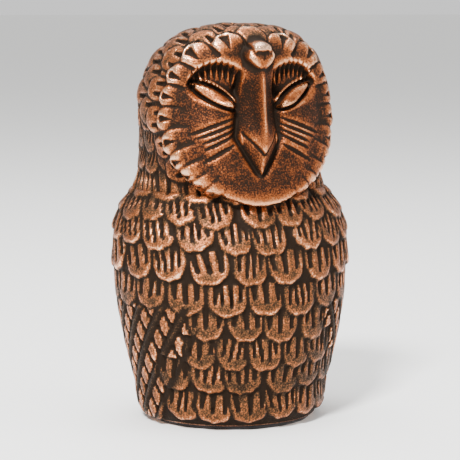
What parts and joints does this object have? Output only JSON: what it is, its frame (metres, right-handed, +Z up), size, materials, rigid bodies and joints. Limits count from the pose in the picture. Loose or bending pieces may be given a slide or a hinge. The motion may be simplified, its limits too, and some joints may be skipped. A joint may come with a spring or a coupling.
{
  "type": "owl figurine",
  "caption": "Free-standing hollow cast barn owl figurine with closed eyes, carved-look feathers and an antique copper finish, on a felt pad.",
  "frame": {"origin": "middle of the felt pad's underside, on the surface that the figurine stands on", "axes": "+Z up through the crown, -Y the way the owl faces, +X to the owl's left"},
  "size_m": [0.069, 0.0588, 0.11],
  "materials": {
    "copper_casting": "cast copper alloy, darkened antique patina rubbed back to bare copper on the high spots",
    "braze": "as brazed, slightly oxidised",
    "plate": "turned sheet, dulled",
    "screw_steel": "zinc-plated, matt",
    "felt": "pressed wool felt, black"
  },
  "bodies": {
    "root": {"torso_casting": "copper_casting", "head_casting": "copper_casting", "neck_braze": "braze", "base_plate": "plate", "base_screws": "screw_steel", "felt_pad": "felt"}
  },
  "joints": []
}
